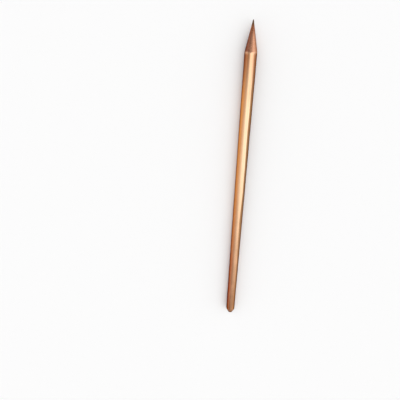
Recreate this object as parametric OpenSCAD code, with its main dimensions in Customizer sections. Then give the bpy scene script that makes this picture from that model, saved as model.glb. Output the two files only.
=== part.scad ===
// Earth rod: one solid copper bar with a turned point at one end and a tapered driving end.
// The bar lies along X. The origin is the centre of the driving face, and +X runs to the point.

/* [Bar] */
// Diameter of the shank
rod_d = 16; // [8:0.5:32]
// Overall length, from the driving face to the end of the nose
rod_length = 500; // [300:10:1500]

/* [Point] */
// Length of the point, from the shoulder to the end of the nose
point_length = 35; // [20:1:80]
// Radius of the small round nose at the tip
nose_r = 0.6; // [0.3:0.1:2]
// Radius that softens the shoulders between the shank and its two turned ends
shoulder_r = 6; // [2:0.5:20]

/* [Driving end] */
// Length of the taper behind the driving face, along the bar
taper_length = 8; // [2:0.5:20]
// How far the taper brings the bar's radius down at the driving face
taper_depth = 3.5; // [0.5:0.1:3.8]

/* [Hidden] */
$fn = 128;

copper = [0.80, 0.50, 0.31];
shoulder_steps = 6;
nose_steps = 10;
shank_r = rod_d / 2;

// Stations along the bar, measured from the driving face
shoulder_at = rod_length - point_length;
nose_at = rod_length - nose_r;

// The point's flank leaves the corner of the shank and just touches the nose
flank_run = [nose_at - shoulder_at, shank_r];
flank_angle = atan2(flank_run.y, flank_run.x) - asin(nose_r / norm(flank_run));

// The shoulder's arc touches the shank and the flank at equal distances from their corner
shoulder_tangent = shoulder_r * tan(flank_angle / 2);
shoulder_centre = [shank_r - shoulder_r, shoulder_at - shoulder_tangent];
nose_centre = [0, nose_at];

// The taper meets the shank in the same way, with an arc that touches both
taper_angle = atan2(taper_depth, taper_length);
taper_tangent = shoulder_r * tan(taper_angle / 2);
taper_centre = [shank_r - shoulder_r, taper_length + taper_tangent];

// Points of an arc about a centre, from one angle to another
function arc(centre, r, from, to, steps) = [
  for (i = [0:steps])
    let (angle = from + (to - from) * i / steps)
      centre + r * [cos(angle), sin(angle)]
];

// Half of the bar's lengthwise section, as radius and station
module half_section() {
  driving_face = [[0, 0], [shank_r - taper_depth, 0]];
  taper = arc(taper_centre, shoulder_r, -taper_angle, 0, shoulder_steps);
  shoulder = arc(shoulder_centre, shoulder_r, 0, flank_angle, shoulder_steps);
  nose = arc(nose_centre, nose_r, flank_angle, 90, nose_steps);
  polygon(concat(driving_face, taper, shoulder, nose));
}

// The whole bar, turned about its own axis and laid along X
module earth_rod() {
  color(copper)
    rotate([0, 90, 0])
      rotate_extrude()
        half_section();
}

earth_rod();
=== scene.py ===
"""Looks of an earth rod: a drawn copper bar with a turned point, lying on a pale studio floor."""

import logging
import math
from collections.abc import Callable, Iterable, Mapping
from dataclasses import dataclass
from enum import Enum, IntEnum
from typing import ClassVar

import bmesh
import bpy
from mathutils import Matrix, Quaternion, Vector


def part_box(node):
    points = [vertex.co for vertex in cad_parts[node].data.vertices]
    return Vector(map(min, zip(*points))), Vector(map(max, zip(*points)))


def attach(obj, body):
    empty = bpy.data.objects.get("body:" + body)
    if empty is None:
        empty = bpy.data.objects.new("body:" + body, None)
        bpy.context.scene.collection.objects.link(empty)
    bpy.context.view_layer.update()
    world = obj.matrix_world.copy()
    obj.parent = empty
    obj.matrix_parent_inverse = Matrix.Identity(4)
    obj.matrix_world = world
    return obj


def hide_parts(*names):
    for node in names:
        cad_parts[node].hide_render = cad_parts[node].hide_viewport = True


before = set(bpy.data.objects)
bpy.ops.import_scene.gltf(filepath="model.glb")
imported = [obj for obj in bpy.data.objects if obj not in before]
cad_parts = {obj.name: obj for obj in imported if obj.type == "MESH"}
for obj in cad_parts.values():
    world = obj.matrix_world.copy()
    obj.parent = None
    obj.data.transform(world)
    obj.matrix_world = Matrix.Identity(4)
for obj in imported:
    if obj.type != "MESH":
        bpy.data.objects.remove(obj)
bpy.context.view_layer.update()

Colour = tuple[float, float, float, float]
Triple = tuple[float, float, float]
Span = tuple[float, float]
Socket = bpy.types.NodeSocket
SocketValue = float | tuple[float, ...] | Socket

LOG = logging.getLogger("earth_rod")
MM = 0.001
FULL_TURN = 2 * math.pi
RIGHT_ANGLE = math.pi / 2
ORIGIN: Triple = (0.0, 0.0, 0.0)
AXIS_X: Triple = (1.0, 0.0, 0.0)
AXIS_Y: Triple = (0.0, 1.0, 0.0)
AXIS_Z: Triple = (0.0, 0.0, 1.0)
WELD_DISTANCE = 0.001 * MM


class Zone(IntEnum):
    """Parts of the bar's surface by how they were made, in the order of the material slots."""

    DRAWN = 0
    TURNED = 1
    SAWN = 2


class PointLayer(Enum):
    """Values that the mesh carries at its points, for the finishes to read."""

    EDGE_WEAR = "edge_wear"
    # Share of the darker reddish-brown: painted shade near the shoulder and on the driving end's left side,
    # and the tip's real browned copper.
    BROWNING = "browning"
    REDDENING = "reddening"
    # Share of the painted left-side colour: painted shade on the point's left, painted reflection and shade
    # on the shank's left near the shoulder.
    DEEPENING = "deepening"
    SOIL = "soil"


class SocketKind(Enum):
    """Kinds of group socket that the effects use."""

    VALUE = "NodeSocketFloat"
    VECTOR = "NodeSocketVector"


class MixSocket(IntEnum):
    """Places of a Mix node's colour sockets, whose names its other kinds of socket share."""

    SHARE = 0
    FIRST = 6
    SECOND = 7
    RESULT = 2


def grey(level: float) -> Colour:
    """Gives a grey of a light level."""
    return (level, level, level, 1.0)


def eased(value: float, low: float, high: float) -> float:
    """Maps a value to 0 at one bound and 1 at the other, with eased ends.

    Args:
        value: what to map.
        low: where the result is 0.
        high: where the result is 1.

    Returns:
        The share, from 0 to 1.
    """
    share = min(max((value - low) / (high - low), 0.0), 1.0)
    return share * share * (3 - 2 * share)


@dataclass(frozen=True)
class Grain:
    """A noise, with its repeats in each metre along X, Y and Z and its octaves of finer noise."""

    scale: Triple
    detail: float
    roughness: float = 0.6


class Wiring:
    """Adds and joins nodes in one node tree."""

    def __init__(self, tree: bpy.types.NodeTree) -> None:
        """Keeps the tree to work on.

        Args:
            tree: the node tree of a material, a world or a group.
        """
        self.tree = tree

    def node(
        self,
        kind: str,
        inputs: Mapping[str | int, SocketValue] | None = None,
        **settings: object,
    ) -> bpy.types.Node:
        """Adds a node.

        Args:
            kind: Blender's name for the node's type.
            inputs: a value or another node's output for each input, by name or by number.
            settings: properties of the node itself.

        Returns:
            The new node.
        """
        made = self.tree.nodes.new(kind)
        for name, value in settings.items():
            setattr(made, name, value)
        for name, value in (inputs or {}).items():
            self.feed(made.inputs[name], value)
        return made

    def feed(self, socket: Socket, value: SocketValue) -> None:
        """Sets an input, or links it where the value is another node's output.

        Args:
            socket: the input to set.
            value: a plain value or an output socket.
        """
        if isinstance(value, Socket):
            self.tree.links.new(value, socket)
        else:
            socket.default_value = value

    def maths(self, operation: str, *values: SocketValue) -> Socket:
        """Adds a Math node.

        Args:
            operation: Blender's name for the operation.
            values: its operands, in order.

        Returns:
            The result.
        """
        return self.node("ShaderNodeMath", dict(enumerate(values)), operation=operation).outputs[0]

    def vector(self, operation: str, *values: SocketValue) -> bpy.types.Node:
        """Adds a Vector Math node.

        Args:
            operation: Blender's name for the operation.
            values: its operands, in order.

        Returns:
            The node, whose result is a vector or a value.
        """
        return self.node("ShaderNodeVectorMath", dict(enumerate(values)), operation=operation)

    def total(self, values: Iterable[Socket]) -> Socket:
        """Adds up values.

        Args:
            values: two or more sockets.

        Returns:
            Their sum.
        """
        first, *others = values
        for other in others:
            first = self.maths("ADD", first, other)
        return first

    def span(
        self,
        value: SocketValue,
        low: float,
        high: float,
        to_low: float = 0.0,
        to_high: float = 1.0,
    ) -> Socket:
        """Maps a value from one range to another with eased ends, and holds it there.

        Args:
            value: what to map.
            low: start of the range that it comes from.
            high: end of the range that it comes from.
            to_low: what the start becomes.
            to_high: what the end becomes.

        Returns:
            The mapped value.
        """
        inputs = {"Value": value, "From Min": low, "From Max": high, "To Min": to_low, "To Max": to_high}
        return self.node("ShaderNodeMapRange", inputs, interpolation_type="SMOOTHSTEP").outputs[0]

    def blend(self, share: SocketValue, first: SocketValue, second: SocketValue) -> Socket:
        """Mixes two colours.

        Args:
            share: how much of the second colour shows.
            first: the colour at a share of 0.
            second: the colour at a share of 1.

        Returns:
            The mixed colour.
        """
        inputs = {MixSocket.SHARE: share, MixSocket.FIRST: first, MixSocket.SECOND: second}
        return self.node("ShaderNodeMix", inputs, data_type="RGBA").outputs[MixSocket.RESULT]

    def noise(self, place: SocketValue, grain: Grain) -> Socket:
        """Adds a noise with its own scale along each axis.

        Args:
            place: the coordinates to read.
            grain: the noise's scale and detail.

        Returns:
            The noise, about 0.5 in the middle.
        """
        stretched = self.vector("MULTIPLY", place, grain.scale).outputs[0]
        inputs = {"Vector": stretched, "Scale": 1.0, "Detail": grain.detail, "Roughness": grain.roughness}
        return self.node("ShaderNodeTexNoise", inputs).outputs["Fac"]

    def layer(self, layer: PointLayer) -> Socket:
        """Reads a value that the mesh carries at its points."""
        return self.node("ShaderNodeAttribute", attribute_name=layer.value).outputs["Fac"]


class Effect:
    """A shader node group, built once and placed in each finish with its own amount."""

    name: ClassVar[str]
    masks: ClassVar[tuple[str, ...]]
    has_height: ClassVar[bool] = False

    def group(self) -> bpy.types.NodeTree:
        """Gives the effect's node group, building it on first use.

        Returns:
            The group's node tree.
        """
        found = bpy.data.node_groups.get(self.name)
        if found:
            return found
        tree = bpy.data.node_groups.new(self.name, "ShaderNodeTree")
        tree.interface.new_socket("Vector", in_out="INPUT", socket_type=SocketKind.VECTOR.value)
        tree.interface.new_socket("Amount", in_out="INPUT", socket_type=SocketKind.VALUE.value)
        outputs = (*self.masks, "Height") if self.has_height else self.masks
        for name in outputs:
            tree.interface.new_socket(name, in_out="OUTPUT", socket_type=SocketKind.VALUE.value)
        wiring = Wiring(tree)
        start = tree.nodes.new("NodeGroupInput")
        end = tree.nodes.new("NodeGroupOutput")
        for name, value in self.wire(wiring, start.outputs["Vector"]).items():
            if name in self.masks:
                value = wiring.maths("MULTIPLY", value, start.outputs["Amount"])
            wiring.feed(end.inputs[name], value)
        return tree

    def wire(self, wiring: Wiring, place: Socket) -> dict[str, Socket]:
        """Builds the effect's own nodes.

        Args:
            wiring: the group's wiring.
            place: the coordinates that the group is given.

        Returns:
            A value for each of the group's outputs, with the masks from 0 to 1.
        """
        raise NotImplementedError

    def placed(self, wiring: Wiring, place: Socket, amount: float) -> Mapping[str, Socket]:
        """Puts the group into a material.

        Args:
            wiring: the material's wiring.
            place: the coordinates to read.
            amount: what its masks are multiplied by.

        Returns:
            The group node's outputs.
        """
        made = wiring.node("ShaderNodeGroup", node_tree=self.group())
        wiring.feed(made.inputs["Vector"], place)
        wiring.feed(made.inputs["Amount"], amount)
        return made.outputs


class ToolMarks(Effect):
    """Marks that a tool leaves, which shade the surface and stand out from it."""

    masks = ("Shade",)
    has_height = True
    limits: ClassVar[Span] = (0.34, 0.66)


class DrawLines(ToolMarks):
    """Long fine lines that a drawing die leaves along the bar."""

    name = "draw_lines"
    limits = (0.36, 0.64)
    broad: ClassVar[Grain] = Grain((5.0, 520.0, 520.0), 3.0)
    fine: ClassVar[Grain] = Grain((11.0, 2300.0, 2300.0), 2.0)
    broad_share: ClassVar[float] = 0.6

    def wire(self, wiring: Wiring, place: Socket) -> dict[str, Socket]:
        """Stretches a broad and a fine noise along X.

        Args:
            wiring: the group's wiring.
            place: the coordinates that the group is given.

        Returns:
            The lines' shade and height.
        """
        broad = wiring.maths("MULTIPLY", wiring.noise(place, self.broad), self.broad_share)
        fine = wiring.maths("MULTIPLY", wiring.noise(place, self.fine), 1 - self.broad_share)
        both = wiring.total((broad, fine))
        return {"Shade": wiring.span(both, *self.limits), "Height": both}


class TurningMarks(ToolMarks):
    """Rings that a lathe tool leaves round the point and the driving end's taper."""

    name = "turning_marks"
    coarse: ClassVar[Grain] = Grain((480.0, 16.0, 16.0), 2.0)
    fine: ClassVar[Grain] = Grain((2200.0, 24.0, 24.0), 1.0)

    def wire(self, wiring: Wiring, place: Socket) -> dict[str, Socket]:
        """Reads noises that change quickly along X and slowly round the bar.

        Args:
            wiring: the group's wiring.
            place: the coordinates that the group is given.

        Returns:
            The rings' shade and height.
        """
        coarse = wiring.noise(place, self.coarse)
        return {"Shade": wiring.span(coarse, *self.limits), "Height": wiring.noise(place, self.fine)}


class SawMarks(ToolMarks):
    """Shallow scores across the cut driving face."""

    name = "saw_marks"
    grain: ClassVar[Grain] = Grain((30.0, 70.0, 1600.0), 3.0)

    def wire(self, wiring: Wiring, place: Socket) -> dict[str, Socket]:
        """Reads a noise that changes quickly along Z and slowly across the face.

        Args:
            wiring: the group's wiring.
            place: the coordinates that the group is given.

        Returns:
            The scores' shade and height.
        """
        scores = wiring.noise(place, self.grain)
        return {"Shade": wiring.span(scores, *self.limits), "Height": scores}


class NoiseMask(Effect):
    """A mask that is read from one noise."""

    grain: ClassVar[Grain]
    limits: ClassVar[Span]

    def wire(self, wiring: Wiring, place: Socket) -> dict[str, Socket]:
        """Keeps what lies above the noise's limits.

        Args:
            wiring: the group's wiring.
            place: the coordinates that the group is given.

        Returns:
            The mask.
        """
        (mask,) = self.masks
        return {mask: wiring.span(wiring.noise(place, self.grain), *self.limits)}


class Tarnish(NoiseMask):
    """Soft patches where the copper has begun to turn brownish."""

    name = "tarnish"
    masks = ("Patches",)
    grain = Grain((20.0, 90.0, 90.0), 4.0)
    limits = (0.46, 0.76)


class HueDrift(NoiseMask):
    """Slow drift of the copper's hue along the bar."""

    name = "hue_drift"
    masks = ("Drift",)
    grain = Grain((9.0, 45.0, 45.0), 2.0)
    limits = (0.34, 0.66)


class Flecks(NoiseMask):
    """Sparse dark specks of oxide."""

    name = "flecks"
    masks = ("Specks",)
    grain = Grain((620.0, 760.0, 760.0), 2.0)
    limits = (0.68, 0.76)


class Smudges(NoiseMask):
    """Dull patches that handling leaves."""

    name = "smudges"
    masks = ("Dull",)
    grain = Grain((60.0, 160.0, 160.0), 5.0)
    limits = (0.42, 0.7)


class Scuffs(NoiseMask):
    """Short scratches from handling, slanted to the bar."""

    name = "scuffs"
    masks = ("Scratches",)
    grain = Grain((70.0, 1900.0, 1900.0), 1.0)
    limits = (0.66, 0.74)
    slant: ClassVar[Triple] = (0.0, 0.3, 0.45)

    def wire(self, wiring: Wiring, place: Socket) -> dict[str, Socket]:
        """Turns the coordinates, so that the noise's long peaks lie at a slant."""
        turned = wiring.node("ShaderNodeMapping", {"Vector": place, "Rotation": self.slant}).outputs[0]
        return super().wire(wiring, turned)


class SideTint(Effect):
    """A tint along one side of the bar, up to a wavering border; here it paints reflection and shade on the
    bar's sides.
    """

    masks = ("Side",)
    side: ClassVar[Triple]
    border: ClassVar[Span]
    across_bar: ClassVar[Triple] = (0.0, 1.0, 1.0)
    waver: ClassVar[float] = 0.06
    waver_grain: ClassVar[Grain] = Grain((14.0, 60.0, 60.0), 3.0)
    waver_limits: ClassVar[Span] = (0.3, 0.7)

    def wire(self, wiring: Wiring, place: Socket) -> dict[str, Socket]:
        """Compares the way out from the axis with the side's direction.

        Args:
            wiring: the group's wiring.
            place: the coordinates that the group is given.

        Returns:
            The side's mask.
        """
        across = wiring.vector("MULTIPLY", place, self.across_bar).outputs[0]
        outwards = wiring.vector("NORMALIZE", across).outputs[0]
        facing = wiring.vector("DOT_PRODUCT", outwards, self.side).outputs["Value"]
        shifted = wiring.total((facing, *self.shifts(wiring, place)))
        return {"Side": wiring.span(shifted, *self.border)}

    def shifts(self, wiring: Wiring, place: Socket) -> tuple[Socket, ...]:
        """Gives what moves the border to and fro: here a noise."""
        noise = wiring.noise(place, self.waver_grain)
        return (wiring.span(noise, *self.waver_limits, -self.waver, self.waver),)


class PaintedLeftSide(SideTint):
    """Painted reflection: a warm band along the left side of the shank; on the point it is painted shade on
    the left.
    """

    name = "painted_left_side"
    side = AXIS_Y
    border = (0.05, 0.82)


class PaintedShadeSide(SideTint):
    """Painted shade: a darker band along the lower right side, beside the highlight, whose border also
    wanders in long waves.
    """

    name = "painted_shade_side"
    side = (0.0, -0.83, -0.56)
    border = (-0.26, -0.03)
    wander: ClassVar[float] = 0.09
    wander_length: ClassVar[float] = 160 * MM

    def shifts(self, wiring: Wiring, place: Socket) -> tuple[Socket, ...]:
        """Gives what moves the border to and fro: a noise, and a wave along X.

        Args:
            wiring: the group's wiring.
            place: the coordinates that the group is given.

        Returns:
            What is added to a place's facing.
        """
        station = wiring.node("ShaderNodeSeparateXYZ", {"Vector": place}).outputs["X"]
        phase = wiring.maths("MULTIPLY", station, FULL_TURN / self.wander_length)
        wave = wiring.maths("MULTIPLY", wiring.maths("SINE", phase), self.wander)
        return (*super().shifts(wiring, place), wave)


@dataclass(frozen=True)
class CopperFinish:
    """One finish of the copper, with its own tool marks."""

    name: str
    clean: Colour
    warm: Colour
    reddened_tone: Colour
    # The next two are painted colours of the left side: a warm reflection on the shank and shade on the
    # point, then a redder, darker tone towards the driving end.
    left_reflection_and_shade: Colour
    redder_left_reflection_and_shade: Colour
    # Colour of tarnish and tool marks; on the lower right side it is also painted shade.
    tarnish_and_shade_brown: Colour
    marks: ToolMarks
    mark_shade: float
    mark_depth: float
    tarnish: float
    painted_left_side: float
    painted_shade_side: float
    roughness: Span
    bright: Colour = (0.93, 0.58, 0.38, 1.0)
    # Reddish-brown of the tip's real browned copper, and painted shade near the shoulder and at the driving
    # end.
    russet_and_shade: Colour = (0.34, 0.115, 0.05, 1.0)
    soil: Colour = (0.11, 0.085, 0.05, 1.0)
    edge_tint: Colour = (0.05, 0.02, 0.01, 1.0)
    speck_share: float = 0.45
    scratch_share: float = 0.35
    edge_share: float = 0.55
    # Share of the painted right-side shade kept where the colour is reddened.
    reddened_shade_share: float = 0.65

    def hue(self, wiring: Wiring, place: Socket) -> Socket:
        """Builds the copper's hue, with painted reflection and shade on its left side and painted shade on
        its lower right side.

        Args:
            wiring: the material's wiring.
            place: the coordinates to read.

        Returns:
            The colour before it is marked or worn.
        """
        drift = HueDrift().placed(wiring, place, 1.0)["Drift"]
        left_reflection_and_shade = PaintedLeftSide().placed(wiring, place, self.painted_left_side)["Side"]
        tarnish_and_shade_brown = PaintedShadeSide().placed(wiring, place, self.painted_shade_side)["Side"]
        redder = wiring.layer(PointLayer.REDDENING)
        plain = wiring.blend(redder, wiring.blend(drift, self.clean, self.warm), self.reddened_tone)
        # Painted left-side colour: reflection on the shank, shade on the point, redder and darker towards
        # the driving end.
        left_painted_tone = wiring.blend(redder, self.left_reflection_and_shade, self.redder_left_reflection_and_shade)
        left_painted_share = wiring.maths("MAXIMUM", left_reflection_and_shade, wiring.layer(PointLayer.DEEPENING))
        # Painted shade on the lower right side, weaker where the colour is reddened.
        shade_fade = wiring.span(redder, 0.0, 1.0, 1.0, self.reddened_shade_share)
        painted_shade_share = wiring.maths("MULTIPLY", tarnish_and_shade_brown, shade_fade)
        return wiring.blend(painted_shade_share, wiring.blend(left_painted_share, plain, left_painted_tone), self.tarnish_and_shade_brown)

    def colour(self, wiring: Wiring, place: Socket, shade: Socket, scratches: Socket) -> Socket:
        """Builds the colour: the hue first, then the reddish-brown places, which are painted shade near the
        shoulder and at the driving end and the tip's real browned copper, then the tarnished and marked
        ones, the soiled ones and the worn ones.

        Args:
            wiring: the material's wiring.
            place: the coordinates to read.
            shade: where the tool marks are browned.
            scratches: where the surface is scratched bright.

        Returns:
            The colour.
        """
        patches = Tarnish().placed(wiring, place, self.tarnish)["Patches"]
        specks = Flecks().placed(wiring, place, self.speck_share)["Specks"]
        # Reddish-brown: painted shade near the shoulder and at the driving end, and the tip's real browned
        # copper.
        colour = wiring.blend(wiring.layer(PointLayer.BROWNING), self.hue(wiring, place), self.russet_and_shade)
        colour = wiring.blend(wiring.total((patches, specks, shade)), colour, self.tarnish_and_shade_brown)
        colour = wiring.blend(wiring.layer(PointLayer.SOIL), colour, self.soil)
        rubbed = wiring.maths("MULTIPLY", wiring.layer(PointLayer.EDGE_WEAR), self.edge_share)
        return wiring.blend(wiring.maths("MAXIMUM", rubbed, scratches), colour, self.bright)

    def material(self) -> bpy.types.Material:
        """Builds the finish as a node material on Object coordinates.

        Returns:
            The new material.
        """
        made = bpy.data.materials.new(self.name)
        made.use_nodes = True
        made.node_tree.nodes.clear()
        wiring = Wiring(made.node_tree)
        place = wiring.node("ShaderNodeTexCoord").outputs["Object"]
        marks = self.marks.placed(wiring, place, self.mark_shade)
        scratches = Scuffs().placed(wiring, place, self.scratch_share)["Scratches"]
        dull = Smudges().placed(wiring, place, 1.0)["Dull"]
        relief = {
            "Height": wiring.maths("SUBTRACT", marks["Height"], scratches),
            "Distance": self.mark_depth,
            "Strength": 1.0,
        }
        finish = {
            "Base Color": self.colour(wiring, place, marks["Shade"], scratches),
            "Metallic": 1.0,
            "Roughness": wiring.span(dull, 0.0, 1.0, *self.roughness),
            "Specular Tint": self.edge_tint,
            "Normal": wiring.node("ShaderNodeBump", relief).outputs["Normal"],
        }
        shader = wiring.node("ShaderNodeBsdfPrincipled", finish)
        wiring.node("ShaderNodeOutputMaterial", {"Surface": shader.outputs[0]})
        return made


FINISHES: dict[Zone, CopperFinish] = {
    Zone.DRAWN: CopperFinish(
        name="drawn_copper",
        clean=(0.90, 0.60, 0.375, 1.0),
        warm=(0.90, 0.625, 0.41, 1.0),
        reddened_tone=(0.87, 0.44, 0.24, 1.0),
        left_reflection_and_shade=(0.72, 0.28, 0.08, 1.0),
        redder_left_reflection_and_shade=(0.38, 0.095, 0.054, 1.0),
        tarnish_and_shade_brown=(0.36, 0.185, 0.088, 1.0),
        marks=DrawLines(),
        mark_shade=0.16,
        mark_depth=0.006 * MM,
        tarnish=0.22,
        painted_left_side=1.0,
        painted_shade_side=1.0,
        roughness=(0.15, 0.25),
    ),
    Zone.TURNED: CopperFinish(
        name="turned_copper",
        clean=(0.80, 0.39, 0.236, 1.0),
        warm=(0.80, 0.41, 0.25, 1.0),
        reddened_tone=(0.66, 0.38, 0.205, 1.0),
        left_reflection_and_shade=(0.22, 0.07, 0.042, 1.0),
        redder_left_reflection_and_shade=(0.29, 0.10, 0.055, 1.0),
        tarnish_and_shade_brown=(0.38, 0.15, 0.085, 1.0),
        marks=TurningMarks(),
        mark_shade=0.22,
        mark_depth=0.008 * MM,
        tarnish=0.30,
        painted_left_side=0.95,
        painted_shade_side=0.45,
        roughness=(0.20, 0.32),
        bright=(0.82, 0.46, 0.29, 1.0),
    ),
    Zone.SAWN: CopperFinish(
        name="sawn_copper",
        clean=(0.80, 0.42, 0.25, 1.0),
        warm=(0.82, 0.45, 0.28, 1.0),
        reddened_tone=(0.80, 0.42, 0.25, 1.0),
        left_reflection_and_shade=(0.80, 0.36, 0.18, 1.0),
        redder_left_reflection_and_shade=(0.80, 0.36, 0.18, 1.0),
        tarnish_and_shade_brown=(0.52, 0.24, 0.13, 1.0),
        marks=SawMarks(),
        mark_shade=0.40,
        mark_depth=0.04 * MM,
        tarnish=0.40,
        painted_left_side=0.0,
        painted_shade_side=0.0,
        roughness=(0.30, 0.45),
    ),
}


class ProfilePen:
    """Draws a half section in the XZ plane, where X is the station and Z the radius."""

    def __init__(self, mesh: bmesh.types.BMesh, start: Triple, heading: float) -> None:
        """Sets the pen down.

        Args:
            mesh: the bmesh to draw in.
            start: where the line starts.
            heading: the way it sets off, as an angle from +X towards +Z.
        """
        self.mesh = mesh
        self.end = mesh.verts.new(start)
        self.heading = heading

    def run(self, length: float, steps: int) -> None:
        """Draws a straight stretch.

        Args:
            length: its length.
            steps: edges that it is made of.
        """
        step = Vector((math.cos(self.heading), 0.0, math.sin(self.heading))) * (length / steps)
        for _ in range(steps):
            grown = bmesh.ops.extrude_vert_indiv(self.mesh, verts=[self.end])
            bmesh.ops.translate(self.mesh, verts=grown["verts"], vec=step)
            self.end = grown["verts"][0]

    def bend(self, radius: float, angle: float, steps: int) -> None:
        """Draws an arc to the right.

        Args:
            radius: radius of the arc.
            angle: how far it turns.
            steps: edges that it is made of.
        """
        right = Vector((math.sin(self.heading), 0.0, -math.cos(self.heading)))
        grown = bmesh.ops.spin(
            self.mesh,
            geom=[self.end],
            cent=self.end.co + right * radius,
            axis=AXIS_Y,
            angle=angle,
            steps=steps,
        )
        self.end = next(item for item in grown["geom_last"] if isinstance(item, bmesh.types.BMVert))
        self.heading -= angle


@dataclass(frozen=True)
class RodForm:
    """The plain bar: driving face, taper, shank, shoulder, flank of the point and round nose, along +X."""

    length: float
    radius: float
    taper_length: float = 8 * MM
    taper_depth: float = 3.5 * MM
    point_length: float = 35 * MM
    nose_radius: float = 0.6 * MM
    shoulder_radius: float = 6 * MM
    corner_radius: float = 0.25 * MM
    sides: int = 128
    face_rings: int = 16
    corner_steps: int = 4
    taper_stations: int = 70
    shoulder_steps: int = 6
    shank_stations: int = 180
    flank_stations: int = 300
    nose_steps: int = 8

    @property
    def shoulder_at(self) -> float:
        """Station of the corner between shank and flank."""
        return self.length - self.point_length

    @property
    def face_radius(self) -> float:
        """Radius of the driving face."""
        return self.radius - self.taper_depth

    @property
    def taper_angle(self) -> float:
        """Angle between the driving end's taper and the axis."""
        return math.atan2(self.taper_depth, self.taper_length)

    @property
    def taper_tangent(self) -> float:
        """Length that the arc behind the taper takes from the taper and from the shank."""
        return self.shoulder_radius * math.tan(self.taper_angle / 2)

    @property
    def flank_run(self) -> Vector:
        """Way from the shank's corner to the nose's centre, along the axis and across it."""
        return Vector((self.point_length - self.nose_radius, self.radius))

    @property
    def flank_angle(self) -> float:
        """Angle of the flank to the axis, from the shank's corner to where it just touches the nose."""
        run = self.flank_run
        return math.atan2(run.y, run.x) - math.asin(self.nose_radius / run.length)

    @property
    def flank_length(self) -> float:
        """Length of the flank, from the shank's corner to where it touches the nose."""
        return math.sqrt(self.flank_run.length_squared - self.nose_radius**2)

    @property
    def shoulder_tangent(self) -> float:
        """Length that the shoulder's arc takes from the shank and from the flank."""
        return self.shoulder_radius * math.tan(self.flank_angle / 2)

    def draw_section(self, mesh: bmesh.types.BMesh) -> None:
        """Draws the half section, from the centre of the driving face to the end of the nose.

        Args:
            mesh: the bmesh to draw in.
        """
        corner = RIGHT_ANGLE - self.taper_angle
        corner_tangent = self.corner_radius * math.tan(corner / 2)
        taper_run = math.hypot(self.taper_length, self.taper_depth)
        shank_start = self.taper_length + self.taper_tangent
        pen = ProfilePen(mesh, ORIGIN, RIGHT_ANGLE)
        pen.run(self.face_radius - corner_tangent, self.face_rings)
        pen.bend(self.corner_radius, corner, self.corner_steps)
        pen.run(taper_run - corner_tangent - self.taper_tangent, self.taper_stations)
        pen.bend(self.shoulder_radius, self.taper_angle, self.shoulder_steps)
        pen.run(self.shoulder_at - self.shoulder_tangent - shank_start, self.shank_stations)
        pen.bend(self.shoulder_radius, self.flank_angle, self.shoulder_steps)
        pen.run(self.flank_length - self.shoulder_tangent, self.flank_stations)
        pen.bend(self.nose_radius, RIGHT_ANGLE - self.flank_angle, self.nose_steps)

    def turned_blank(self) -> bmesh.types.BMesh:
        """Turns the half section about X.

        Returns:
            A closed mesh of the plain bar, its faces pointing outwards.
        """
        mesh = bmesh.new()
        self.draw_section(mesh)
        bmesh.ops.spin(
            mesh,
            geom=mesh.verts[:] + mesh.edges[:],
            cent=ORIGIN,
            axis=AXIS_X,
            angle=FULL_TURN,
            steps=self.sides,
            use_merge=True,
        )
        bmesh.ops.remove_doubles(mesh, verts=mesh.verts[:], dist=WELD_DISTANCE)
        bmesh.ops.recalc_face_normals(mesh, faces=mesh.faces[:])
        return mesh


@dataclass(frozen=True)
class Ripple:
    """A wave on the bar's surface: how long it is, how many times it goes round, and how high it rises."""

    length: float
    lobes: int
    height: float
    start: float = 0.0

    def at(self, along: float, turn: float = 0.0) -> float:
        """Gives the wave's height at a place along it and an angle round the bar."""
        return self.height * math.cos(FULL_TURN * along / self.length + self.lobes * turn + self.start)

    def sunk(self, along: float, turn: float = 0.0) -> float:
        """Gives how far the wave lies under its crests, up to twice its height."""
        return self.height - self.at(along, turn)


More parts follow.
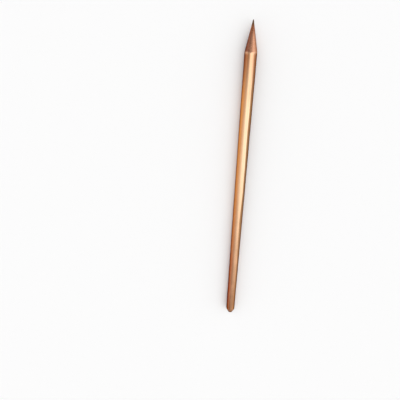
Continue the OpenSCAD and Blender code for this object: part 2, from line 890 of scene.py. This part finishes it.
@dataclass(frozen=True)
class Relief:
    """What tools left on the bar: straightening waves, turning ridges, chatter rings and saw scores."""

    form: RodForm
    straightening: tuple[Ripple, ...] = (
        Ripple(61 * MM, 1, 0.030 * MM),
        Ripple(33 * MM, 2, 0.014 * MM, 1.1),
        Ripple(19 * MM, -1, 0.006 * MM, 2.3),
    )
    waves_end: float = 30 * MM
    feed: Ripple = Ripple(0.8 * MM, 1, 0.012 * MM)
    feed_start: float = 0.6 * MM
    feed_end: float = 3 * MM
    chatter: Ripple = Ripple(2.4 * MM, 0, 0.020 * MM)
    chatter_reach: float = 18 * MM
    chatter_rise: float = 9 * MM
    tip_margin: float = 1.2 * MM
    scores: Ripple = Ripple(1.1 * MM, 0, 0.010 * MM)
    score_margin: float = 0.5 * MM
    blade_radius: float = 60 * MM

    @property
    def tip(self) -> float:
        """Station where the marks on the flank end, just short of the nose."""
        return self.form.length - self.tip_margin

    def shank_relief(self, station: float, turn: float) -> float:
        """Gives the slight waves that straightening leaves on the shank.

        Args:
            station: place along the bar.
            turn: angle round the bar.

        Returns:
            Height over the plain shank, which dies out towards both ends.
        """
        shoulder = self.form.shoulder_at
        fade = eased(station, self.form.taper_length, self.waves_end)
        fade *= eased(station, shoulder, shoulder - self.waves_end)
        return fade * sum(wave.at(station, turn) for wave in self.straightening)

    def tool_ridges(self, station: float, turn: float, start: float, end: float) -> float:
        """Gives the lathe tool's helical ridges between two stations.

        Args:
            station: place along the bar.
            turn: angle round the bar.
            start: station where they start.
            end: station where they end.

        Returns:
            Height over the plain surface, never above it.
        """
        fade = eased(station, start, start + self.feed_start) * eased(station, end, end - self.feed_end)
        return -fade * self.feed.sunk(station, turn)

    def taper_relief(self, station: float, turn: float) -> float:
        """Gives the ridges on the driving end's taper."""
        end = self.form.taper_length - self.form.taper_tangent
        return self.tool_ridges(station, turn, self.form.corner_radius, end)

    def chatter_at(self, station: float) -> float:
        """Gives how strongly the tool chattered.

        Args:
            station: place along the bar.

        Returns:
            The share, which is 1 close to the tip and 0 away from it.
        """
        start = self.tip - self.chatter_reach
        rise = eased(station, start, start + self.chatter_rise)
        return rise * eased(station, self.tip, self.tip - self.feed_end)

    def flank_relief(self, station: float, turn: float) -> float:
        """Gives the ridges on the flank, with chatter rings towards the tip.

        Args:
            station: place along the bar.
            turn: angle round the bar.

        Returns:
            Height over the plain flank, never above it.
        """
        start = self.form.shoulder_at + self.form.shoulder_tangent
        rings = self.chatter_at(station) * self.chatter.sunk(station, turn)
        return self.tool_ridges(station, turn, start, self.tip) - rings

    def side_relief(self, station: float, turn: float) -> float:
        """Gives the relief at a place on the taper, the shank or the flank.

        Args:
            station: place along the bar.
            turn: angle round the bar.

        Returns:
            Height over the plain surface.
        """
        if station < self.form.taper_length:
            return self.taper_relief(station, turn)
        if station < self.form.shoulder_at:
            return self.shank_relief(station, turn)
        return self.flank_relief(station, turn)

    def face_relief(self, across: float, up: float) -> float:
        """Gives the saw's curved scores on the driving face.

        Args:
            across: place along Y.
            up: place along Z.

        Returns:
            Depth under the plain face, which dies out at its rim.
        """
        rim = self.form.face_radius
        fade = eased(math.hypot(across, up), rim, rim - self.score_margin)
        return fade * self.scores.sunk(math.hypot(across, up + self.blade_radius))

    def carve(self, mesh: bmesh.types.BMesh) -> None:
        """Works the relief into the blank.

        Args:
            mesh: the turned blank.
        """
        for vert in mesh.verts:
            station, across, up = vert.co
            if station < WELD_DISTANCE:
                vert.co.x += self.face_relief(across, up)
            else:
                turn = math.atan2(across, up)
                outwards = Vector((0.0, math.sin(turn), math.cos(turn)))
                vert.co += outwards * self.side_relief(station, turn)


@dataclass(frozen=True)
class AgeingAndPaintedLight:
    """Where the copper has been rubbed, browned and soiled, where its colour turns redder, and where
    reflection and shade are painted on its sides.

    Left is +Y, as seen from the driving end. A pair called a reach says where a change begins and where it
    is full, back from the tip or on from the driving face, and a single one is its length before the
    shoulder. A band is such a pair across the bar, in shares of the radius.
    """

    form: RodForm
    relief: Relief
    rim_rub_width: float = 0.5 * MM
    shoulder_rub_width: float = 1.0 * MM
    tip_browning: float = 0.7
    tip_browning_reach: Span = (20 * MM, 5 * MM)
    chatter_browning: float = 0.70
    tip_soil: float = 0.75
    tip_soil_reach: Span = (9 * MM, 3 * MM)
    shoulder_reach: float = 70 * MM
    # Painted shade on both sides of the shank near the shoulder, and on the left of the driving end.
    left_shoulder_shade: float = 1.0
    left_band: Span = (0.55, 0.85)
    right_shoulder_shade: float = 0.75
    right_band: Span = (0.1, 0.5)
    end_left_shade: float = 0.6
    end_reach: Span = (70 * MM, 10 * MM)
    end_band: Span = (0.2, 0.5)
    # Painted shade on the left of the point, and painted reflection and shade on the shank's left near the
    # shoulder.
    point_left_shade: float = 0.95
    point_shade_band: Span = (-0.105, 0.78)
    shoulder_left_reflection_and_shade: float = 0.9
    shoulder_left_band: Span = (0.2, 0.55)
    reddening_reach: Span = (350 * MM, 0.0)
    shoulder_reddening: float = 0.45
    shoulder_reddening_reach: float = 45 * MM

    def near_shoulder(self, station: float, reach: float) -> float:
        """Gives how near a station is to the shoulder: 0 at a reach before it, and 1 at it."""
        return eased(station, self.form.shoulder_at - reach, self.form.shoulder_at)

    def rubbing_at(self, place: Vector) -> float:
        """Gives how rubbed a place is: the driving face's rim and both shoulders.

        Args:
            place: a point of the surface.

        Returns:
            The share of rubbed copper, from 0 to 1.
        """
        spot = Vector((place.x, math.hypot(place.y, place.z)))
        edges = (
            (Vector((0.0, self.form.face_radius)), self.rim_rub_width),
            (Vector((self.form.taper_length, self.form.radius)), self.shoulder_rub_width),
            (Vector((self.form.shoulder_at, self.form.radius)), self.shoulder_rub_width),
        )
        return max(math.exp(-(((spot - edge).length / reach) ** 2)) for edge, reach in edges)

    def browning_and_shade_at(self, place: Vector) -> float:
        """Gives a place's share of the darker reddish-brown: painted shade on the shank and the driving
        end, and real browned copper on the point.

        Args:
            place: a point of the surface.

        Returns:
            The share of russet, from 0 to 1.
        """
        on_shank = place.x < self.form.shoulder_at
        return self.shank_shade(place) if on_shank else self.point_browning(place.x)

    def shank_shade(self, place: Vector) -> float:
        """Gives the painted shade before the shoulder, on both sides, and at the driving end, on the left.

        Args:
            place: a point of the shank or the driving end.

        Returns:
            The share of russet, from 0 to 1.
        """
        side = place.y / self.form.radius
        sides = self.left_shoulder_shade * eased(side, *self.left_band)
        sides += self.right_shoulder_shade * eased(-side, *self.right_band)
        end = self.end_left_shade * eased(place.x, *self.end_reach) * eased(side, *self.end_band)
        return self.near_shoulder(place.x, self.shoulder_reach) * sides + end

    def point_browning(self, station: float) -> float:
        """Gives how browned the tip is, and the valleys between its chatter rings.

        Args:
            station: place along the point.

        Returns:
            The share of russet, from 0 to 1.
        """
        tip = eased(self.form.length - station, *self.tip_browning_reach)
        valley = self.relief.chatter.sunk(station) / (2 * self.relief.chatter.height)
        return self.tip_browning * tip + self.chatter_browning * valley * self.relief.chatter_at(station)

    def painted_left_at(self, place: Vector) -> float:
        """Gives the share of painted left-side colour: painted shade on the left of the point, and painted
        reflection and shade on the left before the shoulder.

        Args:
            place: a point of the surface.

        Returns:
            The share of deep orange, from 0 to 1.
        """
        if place.x > self.form.shoulder_at:
            side = place.y / max(math.hypot(place.y, place.z), WELD_DISTANCE)
            return self.point_left_shade * eased(side, *self.point_shade_band)
        near = self.near_shoulder(place.x, self.shoulder_reach)
        return self.shoulder_left_reflection_and_shade * near * eased(place.y / self.form.radius, *self.shoulder_left_band)

    def reddening_at(self, place: Vector) -> float:
        """Gives how far the colour turns to its redder tones: towards the driving end, and a little before
        the shoulder. On the left side this also darkens the painted reflection and shade.

        Args:
            place: a point of the surface.

        Returns:
            The share of the redder tones, from 0 to 1.
        """
        if place.x > self.form.shoulder_at:
            return 0.0
        near = self.near_shoulder(place.x, self.shoulder_reddening_reach)
        return max(eased(place.x, *self.reddening_reach), self.shoulder_reddening * near)

    def soil_at(self, place: Vector) -> float:
        """Gives how soiled a place near the tip is."""
        return self.tip_soil * eased(self.form.length - place.x, *self.tip_soil_reach)

    def mark(self, mesh: bmesh.types.BMesh) -> None:
        """Writes the shares to the mesh's points.

        Args:
            mesh: the carved bar.
        """
        shares: dict[PointLayer, Callable[[Vector], float]] = {
            PointLayer.EDGE_WEAR: self.rubbing_at,
            PointLayer.BROWNING: self.browning_and_shade_at,
            PointLayer.REDDENING: self.reddening_at,
            PointLayer.DEEPENING: self.painted_left_at,
            PointLayer.SOIL: self.soil_at,
        }
        for layer, share_at in shares.items():
            values = mesh.verts.layers.float.new(layer.value)
            for vert in mesh.verts:
                vert[values] = share_at(vert.co)


@dataclass(frozen=True)
class EarthRod:
    """The bar as it is seen: its form with its relief, its ageing with its painted reflection and shade,
    and its finishes.
    """

    form: RodForm
    sawn_reach: float = 0.03 * MM

    def zone_of(self, face: bmesh.types.BMFace) -> Zone:
        """Tells how a face was made.

        Args:
            face: a face of the bar.

        Returns:
            The zone that it lies in.
        """
        station = face.calc_center_median().x
        if station < self.sawn_reach:
            return Zone.SAWN
        return Zone.DRAWN if self.form.taper_length < station < self.form.shoulder_at else Zone.TURNED

    def build(self) -> bpy.types.Object:
        """Models and dresses the bar.

        Returns:
            The finished piece.
        """
        relief = Relief(self.form)
        mesh = self.form.turned_blank()
        relief.carve(mesh)
        AgeingAndPaintedLight(self.form, relief).mark(mesh)
        for face in mesh.faces:
            face.smooth = True
            face.material_index = self.zone_of(face)
        data = bpy.data.meshes.new("copper_rod")
        mesh.to_mesh(data)
        mesh.free()
        for zone in Zone:
            data.materials.append(FINISHES[zone].material())
        piece = bpy.data.objects.new("copper_rod", data)
        bpy.context.scene.collection.objects.link(piece)
        return piece


@dataclass(frozen=True)
class SoftLamp:
    """A broad soft lamp, far enough away to light the whole bar alike."""

    name: str
    comes_from: Triple
    strength: float
    spread: float

    def hang(self) -> bpy.types.Object:
        """Hangs the lamp.

        Returns:
            The lamp.
        """
        data = bpy.data.lights.new(self.name, "SUN")
        data.energy = self.strength
        data.angle = self.spread
        lamp = bpy.data.objects.new(self.name, data)
        lamp.rotation_mode = "QUATERNION"
        lamp.rotation_quaternion = Vector(self.comes_from).to_track_quat("Z", "Y")
        bpy.context.scene.collection.objects.link(lamp)
        return lamp


@dataclass(frozen=True)
class Studio:
    """Pale floor, one soft lamp, a pale horizon under a dimmer ceiling with a window in it, and the camera.

    The ceiling and the window give their light level at parts of the direction along X, and half_ramp maps
    those parts to a colour ramp. The window's long edge leans with X, and its end slants with Y.
    """

    floor_level: float
    floor_reach: float = 12.0
    floor_colour: Colour = grey(0.97)
    fill: SoftLamp = SoftLamp("fill", (0.75, 0.50, 0.43), 0.34, math.radians(30))
    horizon: float = 0.97
    horizon_fade: Span = (0.40, 0.46)
    ceiling: tuple[Span, ...] = (
        (-0.85, 0.20),
        (-0.74, 0.43),
        (-0.68, 0.71),
        (-0.50, 0.88),
        (-0.36, 1.06),
        (-0.28, 0.96),
        (-0.07, 0.58),
        (0.15, 0.44),
        (0.39, 0.46),
        (0.53, 0.50),
        (0.66, 1.20),
    )
    window: tuple[Span, ...] = (
        (-0.83, 0.40),
        (-0.74, 0.46),
        (-0.67, 0.84),
        (-0.59, 1.14),
        (-0.48, 1.40),
        (-0.18, 1.52),
        (0.05, 1.40),
        (0.39, 1.04),
        (0.63, 0.95),
    )
    window_edge: Span = (0.735, 0.155)
    window_lean: float = -0.75
    window_end: Span = (0.207, 0.057)
    window_slant: float = 0.60
    half_ramp: float = 0.5
    camera_at: Triple = (0.4863, 0.0636, 0.4168)
    camera_heading: float = math.radians(0.40)
    camera_dip: float = math.radians(60.77)
    camera_roll: float = math.pi
    camera_lens: float = 27.0
    camera_near: float = 1 * MM

    def lay_floor(self) -> bpy.types.Object:
        """Lays a large pale floor under the bar.

        Returns:
            The floor.
        """
        mesh = bmesh.new()
        bmesh.ops.create_grid(mesh, x_segments=1, y_segments=1, size=self.floor_reach)
        bmesh.ops.translate(mesh, verts=mesh.verts[:], vec=(0.0, 0.0, self.floor_level))
        data = bpy.data.meshes.new("floor")
        mesh.to_mesh(data)
        mesh.free()
        material = bpy.data.materials.new("pale_floor")
        material.use_nodes = True
        shader = material.node_tree.nodes["Principled BSDF"]
        shader.inputs["Base Color"].default_value = self.floor_colour
        shader.inputs["Roughness"].default_value = 1.0
        shader.inputs["Specular IOR Level"].default_value = 0.0
        data.materials.append(material)
        floor = bpy.data.objects.new("floor", data)
        bpy.context.scene.collection.objects.link(floor)
        return floor

    def levels(self, wiring: Wiring, along: Socket, stops: Iterable[Span]) -> Socket:
        """Turns the X part of a direction into a light level.

        Args:
            wiring: the world's wiring.
            along: the X part, from -1 to 1.
            stops: the level at each of several X parts, in order.

        Returns:
            The level, as a grey.
        """
        half = self.half_ramp
        ramp = wiring.node("ShaderNodeValToRGB", {"Fac": wiring.maths("MULTIPLY_ADD", along, half, half)})
        elements = ramp.color_ramp.elements
        for part, level in stops:
            elements.new(part * half + half).color = grey(level)
        elements.remove(elements[-1])
        elements.remove(elements[0])
        return ramp.outputs["Color"]

    def light_room(self) -> bpy.types.World:
        """Lights the room: pale round the horizon, a dimmer ceiling, and a broad window over the bar.

        Returns:
            The world.
        """
        world = bpy.data.worlds.new("studio")
        world.use_nodes = True
        world.node_tree.nodes.clear()
        wiring = Wiring(world.node_tree)
        way = wiring.node("ShaderNodeTexCoord").outputs["Generated"]
        parts = wiring.node("ShaderNodeSeparateXYZ", {"Vector": way}).outputs
        ceiling = self.levels(wiring, parts["X"], self.ceiling)
        window = self.levels(wiring, parts["X"], self.window)
        leaning = wiring.maths("MULTIPLY_ADD", parts["X"], self.window_lean, parts["Y"])
        slanted = wiring.maths("MULTIPLY_ADD", parts["Y"], self.window_slant, parts["X"])
        beside = wiring.span(leaning, *self.window_edge)
        before = wiring.span(slanted, *self.window_end)
        overhead = wiring.blend(wiring.maths("MULTIPLY", beside, before), ceiling, window)
        rise = wiring.span(parts["Z"], *self.horizon_fade)
        colour = wiring.blend(rise, grey(self.horizon), overhead)
        light = wiring.node("ShaderNodeBackground", {"Color": colour, "Strength": 1.0})
        wiring.node("ShaderNodeOutputWorld", {"Surface": light.outputs[0]})
        bpy.context.scene.world = world
        return world

    def set_camera(self) -> bpy.types.Object:
        """Sets the camera over the point, looking down along the bar, with the point at the top.

        Returns:
            The camera.
        """
        data = bpy.data.cameras.new("camera")
        data.lens = self.camera_lens
        data.clip_start = self.camera_near
        level = math.cos(self.camera_dip)
        back = Vector((
            level * math.cos(self.camera_heading),
            level * math.sin(self.camera_heading),
            math.sin(self.camera_dip),
        ))
        aim = back.to_track_quat("Z", "Y")
        camera = bpy.data.objects.new("camera", data)
        camera.location = self.camera_at
        camera.rotation_mode = "QUATERNION"
        camera.rotation_quaternion = aim @ Quaternion(AXIS_Z, self.camera_roll)
        bpy.context.scene.collection.objects.link(camera)
        bpy.context.scene.camera = camera
        return camera


def main() -> None:
    """Builds the bar and its studio, and reports each piece."""
    logging.basicConfig(level=logging.INFO, format="%(name)s: %(message)s")
    bpy.context.scene.view_settings.view_transform = "Standard"
    low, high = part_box("earth_rod")

    studio = Studio(floor_level=low.z)
    for thing in (studio.set_camera(), studio.lay_floor(), studio.fill.hang(), studio.light_room()):
        LOG.info("studio: %s", thing.name)

    rod = EarthRod(RodForm(length=high.x - low.x, radius=(high.z - low.z) / 2))
    piece = rod.build()
    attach(piece, "root")
    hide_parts("earth_rod")
    LOG.info("piece: %s, %d faces", piece.name, len(piece.data.polygons))


if __name__ == "__main__":
    main()
